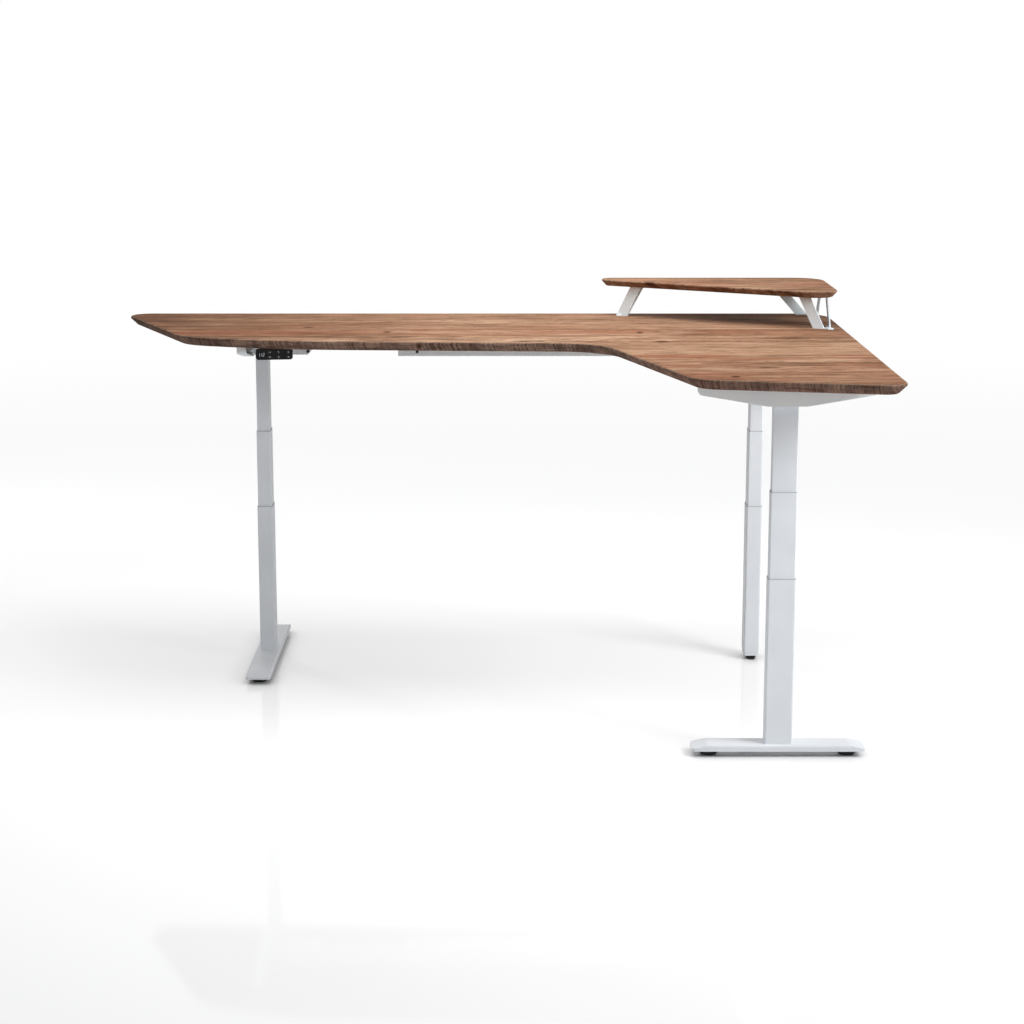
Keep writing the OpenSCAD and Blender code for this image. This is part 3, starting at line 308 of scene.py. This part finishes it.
def outline(corners, inset):
    """A board's outline moved in by inset, with points round each corner's own radius."""
    points = []
    for i, (x, y, radius) in enumerate(corners):
        arriving = unit(corners[i - 1], corners[i])
        leaving = unit(corners[i], corners[(i + 1) % len(corners)])
        turn = math.atan2(arriving[0] * leaving[1] - arriving[1] * leaving[0],
                          arriving[0] * leaving[0] + arriving[1] * leaving[1])
        way = 1 if turn > 0 else -1
        # u and v point to the left of the side that arrives and of the one that leaves
        u, v = (-arriving[1], arriving[0]), (-leaving[1], leaving[0])
        out = way * radius / (1 + u[0] * v[0] + u[1] * v[1])
        centre = x + out * (u[0] + v[0]), y + out * (u[1] + v[1])
        r = way * (radius - way * inset)
        for j in range(CORNER_STEPS + 1):
            a = turn * j / CORNER_STEPS
            points.append((centre[0] - r * (u[0] * math.cos(a) - u[1] * math.sin(a)),
                           centre[1] - r * (u[0] * math.sin(a) + u[1] * math.cos(a))))
    return points


def soften(mesh, degrees):
    """Smooth shading, with the edges that turn by more than this kept sharp."""
    bm = bmesh.new()
    bm.from_mesh(mesh)
    for f in bm.faces:
        f.smooth = True
    for e in bm.edges:
        if len(e.link_faces) == 2:
            e.smooth = e.calc_face_angle(0.0) < math.radians(degrees)
    bm.to_mesh(mesh)
    bm.free()


def piece(name, bm, material, body, *nodes):
    """Makes a piece from a bmesh, which rides on a body and may stand for CAD nodes."""
    mesh = bpy.data.meshes.new(name)
    bm.to_mesh(mesh)
    bm.free()
    o = bpy.data.objects.new(name, mesh)
    bpy.context.collection.objects.link(o)
    mesh.materials.append(material)
    if nodes:
        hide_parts(*nodes)
    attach(o, body)
    return o


def board(name, corners, profile, material, node):
    """A board whose edge profile, listed as (height, inset), follows the outline."""
    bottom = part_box(node)[0].z
    bm = bmesh.new()
    rings = [[bm.verts.new((x, y, bottom + height)) for x, y in outline(corners, inset)]
             for height, inset in profile]
    for low, high in zip(rings, rings[1:]):
        for i in range(len(low)):
            after = (i + 1) % len(low)
            bm.faces.new((low[i], low[after], high[after], high[i]))
    bm.faces.new(rings[-1])
    bm.faces.new(list(reversed(rings[0])))
    o = piece(name, bm, material, "top", node)
    soften(o.data, 28)


def arris(thick, radius, inset, flat=0.004):
    """The eased top edge as heights and insets, ending with a narrow flat band."""
    angles = [math.radians(90 * i / ARRIS_STEPS) for i in range(ARRIS_STEPS + 1)]
    arc = [(thick - radius + radius * math.sin(a), inset + radius - radius * math.cos(a)) for a in angles]
    return arc + [(thick, inset + radius + flat)]


oiled_staves = wood_group()
worktop_plan = [at(2.393, 0) + (0.0655,), at(2.108, 0.640) + (0.170,), at(1.815, 0.758) + (1.385,),
                at(0.798, 0.814) + (0.177,), at(0.569, 1.598) + (0.100,), at(0, 1.718) + (0.0603,),
                at(0, 0) + (0.120,)]
worktop_bevel = [(0, 0.029), (0, 0.025), (0.0006, 0.0236), (0.002, 0.0215), (0.0115, 0.0117),
                 (0.021, 0.0015), (0.0222, 0.0005), (0.0238, 0)]
board("worktop_board", worktop_plan, worktop_bevel + arris(0.030, 0.0045, 0), wood("worktop_wood"),
      "worktop")


# Riser shelf: a long triangular board cut from the same stock, eased and bevelled like the
# worktop. Three folded steel supports are screwed up into it.

shelf_plan = [at(0.865, 0) + (0.040,), at(0.018, 0.522) + (0.070,), at(0.018, 0) + (0.100,)]
shelf_bevel = [(0, 0.020), (0, 0.016), (0.0004, 0.0148), (0.0015, 0.0135), (0.008, 0.0074),
               (0.0148, 0.0012), (0.0158, 0.0004), (0.0168, 0)]
board("riser_board", shelf_plan, shelf_bevel + arris(0.022, 0.0040, 0), wood("riser_wood"), "shelf_board")


# Powder-coated steel: shelf supports, columns, feet, brackets, housings and rails. They are
# folded sheet and tube, welded or bolted, with a matt white coat that has an orange-peel skin.

LEGS = ("left", "corner", "right")


def tinted(t, colour, share):
    """A colour socket times a share, held at white."""
    part = wire(t, "VectorMath", {0: colour, 1: (share,) * 3}, operation="MULTIPLY")
    return wire(t, "VectorMath", {0: part, 1: (1.0,) * 3}, operation="MINIMUM")


def powder_coat_group():
    """The coat's uneven colour with fine specks, its cloud and its orange-peel skin."""
    t, given, result = new_group("powder_coat", {"Place": "Vector", "Colour": "Color"},
                                 {"Colour": "Color", "Cloud": "Float", "Skin": "Float"})
    place, colour = given["Place"], given["Colour"]
    cloud = noise(t, place, 7.0, 2.0)
    spread = mix(t, ramp(t, cloud, ((0.35, 0.0), (0.65, 1.0))), tinted(t, colour, 0.965),
                 tinted(t, colour, 1.02))
    speck = ramp(t, noise(t, place, 900.0, 2.0, 0.6), ((0.66, 0.0), (0.80, 0.25)))
    feed(t, result, {"Colour": mix(t, speck, spread, tinted(t, colour, 0.80)), "Cloud": cloud,
                     "Skin": noise(t, place, 520.0, 2.0, 0.55)})
    return t


def coat(name, colour, rough=0.42):
    m, t, shader, place = new_material(name)
    coated = placed(t, powder_coat, {"Place": place, "Colour": rgba(colour)})
    feed(t, shader, {"Base Color": coated["Colour"], "Normal": bump(t, 0.35, 0.00015, coated["Skin"]),
                     "Roughness": calc(t, "MULTIPLY_ADD", coated["Cloud"], 0.10, rough - 0.05)})
    return m


def dress(material, *names):
    """Gives CAD nodes their finish."""
    for name in names:
        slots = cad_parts[name].data.materials
        if len(slots) == 0:
            slots.append(material)
        for i in range(len(slots)):
            slots[i] = material


def on_each_leg(*parts):
    """The names of these parts' nodes on all three legs."""
    return [leg + "_" + part for leg in LEGS for part in parts]


powder_coat = powder_coat_group()
white = coat("powder_coat_white", (0.80, 0.835, 0.872))
# painted light: the shelf supports get a brighter, bluer copy of the white coat, standing in for the shade
# under the shelf and the warm light bounced from the wood
dress(coat("powder_coat_lit_shelf", (0.85, 0.945, 1.0)), "left_shelf_support", "back_shelf_support",
      "front_shelf_support")
dress(white, *on_each_leg("foot", "outer_tube", "middle_tube", "inner_tube", "motor_housing"))
dress(white, "main_rail_left", "main_rail_right", "return_rail")
# painted light: the tray and side brackets get a brighter copy of the white coat, standing in for the shade
# under the worktop
dress(coat("powder_coat_lit_pans", (0.93, 0.98, 1.0)), "centre_tray", "left_side_bracket", "right_side_bracket")


# Guides, glides and box: nylon collars pressed into the mouths of the tubes, rubber-soled
# glides on stems screwed into the feet, and the moulded control box held in the tray.

def moulded_group():
    """A moulding's uneven colour, its cloud and the fine grain of its skin."""
    t, given, result = new_group("moulded_grain", {"Place": "Vector", "Colour": "Color", "Grain": "Float"},
                                 {"Colour": "Color", "Cloud": "Float", "Skin": "Float"})
    place, colour = given["Place"], given["Colour"]
    cloud = noise(t, place, 30.0, 3.0)
    skin = wire(t, "TexVoronoi", {"Vector": place, "Scale": given["Grain"]}, feature="SMOOTH_F1")
    feed(t, result, {"Colour": mix(t, cloud, tinted(t, colour, 0.82), tinted(t, colour, 1.18)),
                     "Cloud": cloud, "Skin": skin})
    return t


def moulded(name, colour, rough, grain, depth, shine=0.5):
    m, t, shader, place = new_material(name)
    skin = placed(t, moulded_grain, {"Place": place, "Colour": rgba(colour), "Grain": grain})
    feed(t, shader, {"Base Color": skin["Colour"], "Normal": bump(t, 0.4, depth, skin["Skin"]),
                     "Roughness": calc(t, "MULTIPLY_ADD", skin["Cloud"], 0.14, rough - 0.07),
                     "Specular IOR Level": shine})
    return m


moulded_grain = moulded_group()
dress(moulded("guide_nylon", (0.42, 0.43, 0.44), 0.50, 900.0, 0.0001),
      *on_each_leg("lower_collar", "upper_collar"))
dress(moulded("glide_rubber", (0.022, 0.022, 0.024), 0.62, 700.0, 0.0002, 0.35),
      "left_front_glide", "left_back_glide", "right_outer_glide", "right_inner_glide",
      "corner_front_glide", "corner_back_glide")
dress(moulded("box_plastic", (0.045, 0.046, 0.050), 0.48, 850.0, 0.00015), "control_box")


# Drives and fasteners: in each column two steel screws run in one another, turned by a worm
# motor at the top. Bolts and wood screws are zinc-plated, clamp and bracket screws blackened.

SCREW_PITCH = 0.004
# a wave texture's bands are about 0.314 long at a scale of one
BAND_LENGTH = 0.314


def metal_group():
    """Bare or plated steel: its uneven colour, its cloud and its drawn skin."""
    t, given, result = new_group("drawn_steel", {"Place": "Vector", "Colour": "Color"},
                                 {"Colour": "Color", "Cloud": "Float", "Skin": "Float"})
    cloud = noise(t, given["Place"], 60.0, 4.0, 0.6)
    colour = mix(t, cloud, tinted(t, given["Colour"], 0.78), tinted(t, given["Colour"], 1.15))
    feed(t, result, {"Colour": colour, "Cloud": cloud, "Skin": noise(t, given["Place"], 260.0, 3.0)})
    return t


def metal(name, colour, rough, pitch=0.0):
    m, t, shader, place = new_material(name)
    steel = placed(t, drawn_steel, {"Place": place, "Colour": rgba(colour)})
    normal = bump(t, 0.3, 0.0001, steel["Skin"])
    if pitch:
        thread = wire(t, "TexWave", {"Vector": place, "Scale": BAND_LENGTH / pitch, "Distortion": 0.0},
                      out=1, wave_type="BANDS", bands_direction="Z", wave_profile="SIN")
        normal = bump(t, 1.0, 0.001, thread, normal)
    feed(t, shader, {"Base Color": steel["Colour"], "Normal": normal, "Metallic": 1.0,
                     "Roughness": calc(t, "MULTIPLY_ADD", steel["Cloud"], 0.20, rough - 0.10)})
    return m


drawn_steel = metal_group()
dress(metal("screw_steel", (0.55, 0.54, 0.52), 0.34, SCREW_PITCH),
      *on_each_leg("fixed_screw", "hollow_screw"))
dress(moulded("motor_black", (0.030, 0.031, 0.033), 0.45, 400.0, 0.0003), *on_each_leg("gear_motor"))
dress(metal("zinc_steel", (0.62, 0.63, 0.65), 0.36), "wood_screws", "foot_bolts")
dress(metal("black_bolt", (0.035, 0.035, 0.037), 0.45), "rail_clamp_screws")
dress(metal("worn_bolt", (0.20, 0.20, 0.21), 0.40), "bracket_bolts")


# Hand control: a gloss-black moulded handset fixed under the front edge, with a tinted window
# for the height readout and six push keys in two rows, printed in pale grey.

HANDSET_TURN = math.radians(8)
PRINT_HEIGHT = 0.0001
PRINT_ROOT = -0.00005
KEY_STROKE = 1.1
FIGURE_STROKE = 0.95
SIGN_STROKE = 1.0


def gloss_group():
    """Polished plastic: its uneven colour and the smear left by hands."""
    t, given, result = new_group("hand_smear", {"Place": "Vector", "Colour": "Color"},
                                 {"Colour": "Color", "Smear": "Float"})
    smear = noise(t, given["Place"], 90.0, 3.0, 0.6)
    colour = mix(t, smear, tinted(t, given["Colour"], 0.7), tinted(t, given["Colour"], 1.3))
    feed(t, result, {"Colour": colour, "Smear": smear})
    return t


def gloss(name, colour, rough):
    m, t, shader, place = new_material(name)
    skin = placed(t, hand_smear, {"Place": place, "Colour": rgba(colour)})
    feed(t, shader, {"Base Color": skin["Colour"], "Normal": bump(t, 0.15, 0.0001, skin["Smear"]),
                     "Roughness": calc(t, "MULTIPLY_ADD", skin["Smear"], 0.12, rough - 0.05),
                     "Specular IOR Level": 0.22})
    return m


def stroke(bm, middle, across, outward, face, a, b, width):
    """One raised stroke from a to b, in mm from the middle of a key's face."""
    d = unit(a, b)
    side = (-d[1] * width / 2, d[0] * width / 2)
    ends = [(a[0] - d[0] * width / 2, a[1] - d[1] * width / 2),
            (b[0] + d[0] * width / 2, b[1] + d[1] * width / 2)]
    flat = [(end[0] + k * side[0], end[1] + k * side[1])
            for end, k in ((ends[0], -1), (ends[1], -1), (ends[1], 1), (ends[0], 1))]
    points = [middle + across * x / 1000 + Vector((0, 0, y / 1000)) for x, y in flat]
    low, high = [[bm.verts.new(point + outward * (face + rise)) for point in points]
                 for rise in (PRINT_ROOT, PRINT_HEIGHT)]
    bm.faces.new(high)
    for i in range(4):
        bm.faces.new((low[i], low[(i + 1) % 4], high[(i + 1) % 4], high[i]))
    bm.faces.new(list(reversed(low)))


def printed(name, node, body, lines, width):
    """Raised print on the front of a key or the window, which are found from their node."""
    across = Vector((math.cos(HANDSET_TURN), math.sin(HANDSET_TURN), 0))
    outward = Vector((math.sin(HANDSET_TURN), -math.cos(HANDSET_TURN), 0))
    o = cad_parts[node]
    corners = [o.matrix_world @ v.co for v in o.data.vertices]
    sideways = [c.dot(across) for c in corners]
    upward = [c.z for c in corners]
    middle = across * (min(sideways) + max(sideways)) / 2
    middle += Vector((0, 0, (min(upward) + max(upward)) / 2))
    face = max(c.dot(outward) for c in corners)
    bm = bmesh.new()
    for line in lines:
        for a, b in zip(line, line[1:]):
            stroke(bm, middle, across, outward, face, a, b, width)
    bmesh.ops.recalc_face_normals(bm, faces=bm.faces)
    piece(name, bm, pale_print, body)


def moved(lines, right):
    """Strokes moved to the right by so many mm."""
    return [[(x + right, y) for x, y in line] for line in lines]


hand_smear = gloss_group()
dress(gloss("handset_gloss", (0.006, 0.006, 0.007), 0.22), "handset_case")
dress(gloss("window_tint", (0.003, 0.003, 0.004), 0.10), "handset_window")
dress(gloss("key_black", (0.012, 0.012, 0.013), 0.38), "key_up", "key_one", "key_two", "key_down",
      "key_three", "key_set")

pale_print = moulded("pale_print", (0.62, 0.64, 0.66), 0.55, 900.0, 0.00002, 0.3)
up_arrow = [(-2.4, -1.2), (0, 1.5), (2.4, -1.2)]
down_arrow = [(x, -y) for x, y in up_arrow]
figure_one = [(-1.3, 1.6), (0.2, 2.7), (0.2, -2.7)]
figure_two = [(-1.7, 1.6), (-0.9, 2.6), (0.9, 2.6), (1.7, 1.5), (1.3, 0.2), (-1.8, -2.6), (1.9, -2.6)]
figure_three = [(-1.7, 2.2), (-0.6, 2.7), (0.9, 2.5), (1.5, 1.4), (0.3, 0.2), (1.7, -1.1), (0.9, -2.5),
                (-0.6, -2.7), (-1.8, -2.1)]
ring = [(2.2 * math.cos(math.radians(15 * i)), 2.2 * math.sin(math.radians(15 * i))) for i in range(25)]
dot = [(-0.5, 0), (0.5, 0)]
printed("print_up", "key_up", "key_up_body", [up_arrow], KEY_STROKE)
printed("print_down", "key_down", "key_down_body", [down_arrow], KEY_STROKE)
printed("print_one", "key_one", "key_one_body", [figure_one], FIGURE_STROKE)
printed("print_two", "key_two", "key_two_body", [figure_two], FIGURE_STROKE)
printed("print_three", "key_three", "key_three_body", [figure_three], FIGURE_STROKE)
printed("print_set", "key_set", "key_set_body", [ring, dot], SIGN_STROKE)
# the readout shows the height of the top in centimetres, 112, in bars
one_bars = [[(0, 4.6), (0, 0.5)], [(0, -0.5), (0, -4.6)]]
two_bars = [[(-1.9, 4.9), (1.9, 4.9)], [(2.4, 4.4), (2.4, 0.5)], [(1.9, 0), (-1.9, 0)],
            [(-2.4, -0.5), (-2.4, -4.4)], [(-1.9, -4.9), (1.9, -4.9)]]
printed("print_height", "handset_window", "top",
        moved(one_bars, -6.5) + moved(one_bars, -0.2) + moved(two_bars, 6.1), SIGN_STROKE)


# Stage: a glossy white studio floor, three soft lamps, and the camera at the photograph's
# angle. The floor is lit as a grey card and shown to the camera with white added, so that its
# shadows stay soft.

FLOOR_HALF = 60
# the floor starts to run out into the backdrop at the first distance, and has done by the second
FLOOR_FADE = (2.64, 9.0)
FADE_SPAN = 12.0
CONTACT_REACH = 0.09
ADDED_WHITE = 0.35
WORLD_LIGHT = 0.44
CAMERA_PLACE = (0.110550, -6.828619, 1.98647)
CAMERA_PITCH = 0.200359
CAMERA_LENS = 79.27


def studio_floor():
    bm = bmesh.new()
    bmesh.ops.create_grid(bm, x_segments=2, y_segments=2, size=FLOOR_HALF)
    mesh = bpy.data.meshes.new("studio_floor")
    bm.to_mesh(mesh)
    bm.free()
    o = bpy.data.objects.new("studio_floor", mesh)
    bpy.context.collection.objects.link(o)
    m, t, shader, place = new_material("studio_floor")
    cloud = noise(t, place, 0.7, 2.0)
    seen = wire(t, "LightPath", {}).node.outputs["Is Camera Ray"]
    card = mix(t, seen, (0.78, 0.78, 0.79), mix(t, cloud, (0.70, 0.705, 0.715), (0.72, 0.723, 0.73)))
    feed(t, shader, {"Base Color": card, "Roughness": calc(t, "MULTIPLY_ADD", cloud, 0.05, 0.04),
                     "Specular IOR Level": 0.12})
    far = calc(t, "DIVIDE", wire(t, "VectorMath", {0: place}, out=1, operation="LENGTH"), FADE_SPAN)
    far = ramp(t, far, ((FLOOR_FADE[0] / FADE_SPAN, 0.0), (FLOOR_FADE[1] / FADE_SPAN, 1.0)))
    # right under the feet nothing is added, so that they stand on dark contact shadows
    open_floor = wire(t, "AmbientOcclusion", {"Distance": CONTACT_REACH}, out=1, samples=8)
    open_floor = ramp(t, open_floor, ((0.30, 0.0), (0.95, 1.0)))
    lift = calc(t, "MULTIPLY", seen, calc(t, "MULTIPLY", open_floor, ADDED_WHITE))
    added = wire(t, "Emission", {"Color": rgba(1.0), "Strength": lift})
    backdrop = wire(t, "Emission", {"Color": rgba(1.0), "Strength": seen})
    near = wire(t, "AddShader", {0: shader.outputs[0], 1: added})
    whole = wire(t, "MixShader", {0: calc(t, "MULTIPLY", far, seen), 1: near, 2: backdrop})
    feed(t, t.nodes["Material Output"], {0: whole})
    mesh.materials.append(m)


def lamp(name, place, towards, size, watts):
    """A rectangular soft box that lights the desk but isn't mirrored in the glossy floor."""
    data = bpy.data.lights.new(name, "AREA")
    data.energy = watts
    data.shape = "RECTANGLE"
    data.size, data.size_y = size
    o = bpy.data.objects.new(name, data)
    bpy.context.collection.objects.link(o)
    o.location = place
    o.rotation_mode = "QUATERNION"
    o.rotation_quaternion = (Vector(towards) - Vector(place)).to_track_quat("-Z", "Y")
    o.visible_glossy = False


def studio_world():
    """Plain light for the desk, and white for the camera, reflections and glass."""
    world = bpy.data.worlds.new("studio")
    bpy.context.scene.world = world
    world.use_nodes = True
    t = world.node_tree
    t.nodes.clear()
    ray = t.nodes.new("ShaderNodeLightPath").outputs
    seen = calc(t, "MAXIMUM", ray["Is Camera Ray"], ray["Is Glossy Ray"])
    seen = calc(t, "MAXIMUM", seen, ray["Is Transmission Ray"])
    soft = wire(t, "Background", {"Color": rgba(1.0), "Strength": WORLD_LIGHT})
    plain = wire(t, "Background", {"Color": rgba(1.0), "Strength": 1.0})
    whole = wire(t, "MixShader", {0: seen, 1: soft, 2: plain})
    feed(t, t.nodes.new("ShaderNodeOutputWorld"), {0: whole})


studio_floor()
lamp("key_right", (3.2, -1.6, 2.5), (0.3, 0.2, 0.5), (1.6, 1.4), 96)
lamp("overhead", (0.15, 0.35, 2.75), (0.15, 0.30, 0.0), (1.6, 1.2), 37)
lamp("back_left", (-2.9, 3.3, 2.3), (-0.4, 0.2, 0.3), (0.6, 0.6), 20)
studio_world()

camera = bpy.data.objects.new("camera", bpy.data.cameras.new("camera"))
bpy.context.collection.objects.link(camera)
camera.location = CAMERA_PLACE
camera.rotation_euler = (math.pi / 2 - CAMERA_PITCH, 0, 0)
camera.data.sensor_width = 36
camera.data.lens = CAMERA_LENS
bpy.context.scene.camera = camera
bpy.context.scene.view_settings.view_transform = "Standard"
